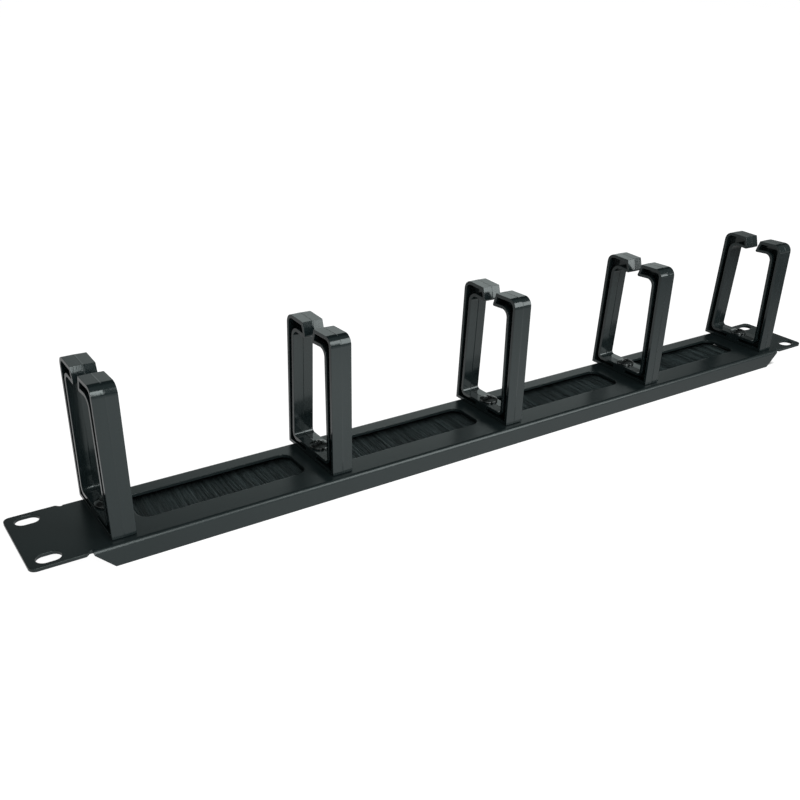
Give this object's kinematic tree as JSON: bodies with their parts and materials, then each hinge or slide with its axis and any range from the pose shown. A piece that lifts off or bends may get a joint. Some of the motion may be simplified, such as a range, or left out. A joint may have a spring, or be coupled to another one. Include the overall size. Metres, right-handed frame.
{
  "type": "horizontal cable manager",
  "caption": "Horizontal cable manager for a 19-inch rack: folded black steel panel with brush-filled openings and a row of open-topped plastic cable rings.",
  "frame": {"origin": "centre of the four rack slots, on the rear face of the panel that meets the rack rails", "axes": "+X along the panel, +Y across the panel towards the side that the rings lean nearest to, +Z out of the front of the rack, the way the rings stand"},
  "size_m": [0.4826, 0.0467, 0.076],
  "materials": {
    "powder_coated_steel": "fine satin black powder coat",
    "moulded_plastic": "semi-gloss black injection moulding",
    "blackened_steel": "black zinc plated",
    "zinc_plated_steel": "bright zinc plated",
    "drawn_aluminium": "plain satin, with fine lines along its length",
    "galvanised_steel": "dull galvanised",
    "brush_nylon": "black nylon bristles"
  },
  "bodies": {
    "root": {"face_panel": "powder_coated_steel", "cable_ring_1": "moulded_plastic", "cable_ring_2": "moulded_plastic", "cable_ring_3": "moulded_plastic", "cable_ring_4": "moulded_plastic", "cable_ring_5": "moulded_plastic", "brush_holder_1": "drawn_aluminium", "brush_backing_1": "galvanised_steel", "brush_bristles_1": "brush_nylon", "brush_holder_2": "drawn_aluminium", "brush_backing_2": "galvanised_steel", "brush_bristles_2": "brush_nylon", "brush_holder_3": "drawn_aluminium", "brush_backing_3": "galvanised_steel", "brush_bristles_3": "brush_nylon", "brush_holder_4": "drawn_aluminium", "brush_backing_4": "galvanised_steel", "brush_bristles_4": "brush_nylon", "ring_screws": "blackened_steel", "ring_washers": "zinc_plated_steel", "ring_nuts": "zinc_plated_steel", "brush_studs": "zinc_plated_steel", "brush_nuts": "zinc_plated_steel"}
  },
  "joints": []
}
